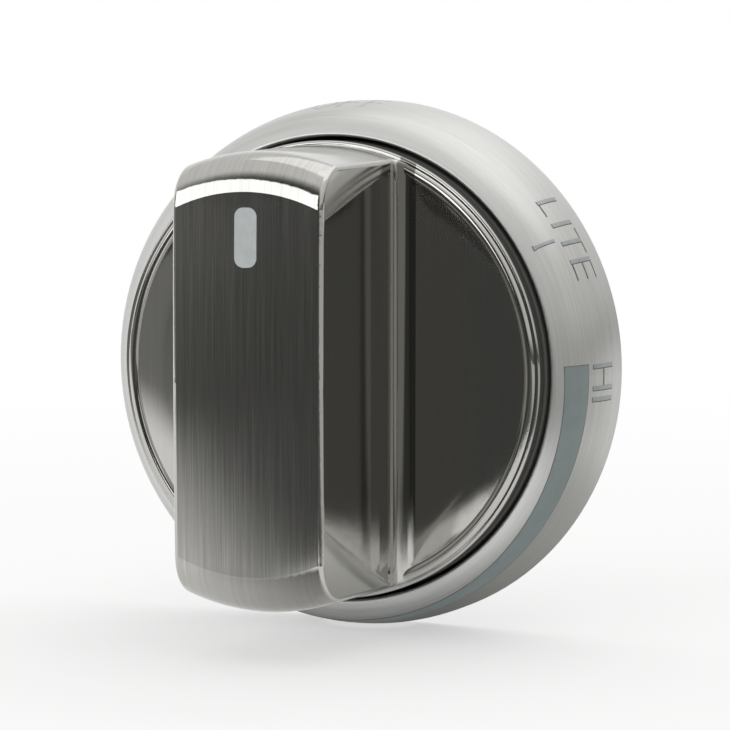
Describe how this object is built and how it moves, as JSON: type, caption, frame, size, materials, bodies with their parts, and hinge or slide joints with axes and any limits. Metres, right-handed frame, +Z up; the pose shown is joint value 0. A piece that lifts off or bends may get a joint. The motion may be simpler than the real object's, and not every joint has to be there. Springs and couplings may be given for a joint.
{
  "type": "gas range control knob",
  "caption": "Bar-grip control knob on a round disc that pushes in and turns inside a rounded brushed dial ring, with a flatted stem socket behind.",
  "frame": {"origin": "on the knob's axis at the plane of the appliance panel", "axes": "+Y along the axis into the panel, so the front faces -Y; +Z up along the bar towards the pointer; +X to the right seen from the front"},
  "size_m": [0.058, 0.0324, 0.058],
  "materials": {
    "ring_steel": "satin brushed",
    "grip_metal": "lengthwise brushed front, polished disc",
    "pointer_enamel": "satin enamel",
    "carrier_plastic": "moulded",
    "hub_plastic": "moulded, glass filled",
    "spring_steel": "drawn wire and stamped strip",
    "screw_steel": "zinc plated",
    "washer_plastic": "moulded acetal"
  },
  "bodies": {
    "bezel": {"dial_ring": "ring_steel", "ring_carrier": "carrier_plastic", "return_spring": "spring_steel"},
    "slider": {"thrust_washer": "washer_plastic"},
    "grip": {"grip": "grip_metal", "pointer_inlay": "pointer_enamel", "hub": "hub_plastic", "hub_screw_upper": "screw_steel", "hub_screw_lower": "screw_steel", "stem_clip": "spring_steel", "retaining_ring": "spring_steel"}
  },
  "joints": [
    {"name": "push", "type": "slide", "parent": "bezel", "child": "slider", "axis": [0, 1, 0], "range_m": [0, 0.0025], "stiffness_N_per_m": 800, "springref_m": -0.004, "deforming": ["return_spring"]},
    {"name": "turn", "type": "hinge", "parent": "slider", "child": "grip", "pos_m": [0, -0.0058, 0], "axis": [0, 1, 0], "range_deg": [0, 210]}
  ]
}
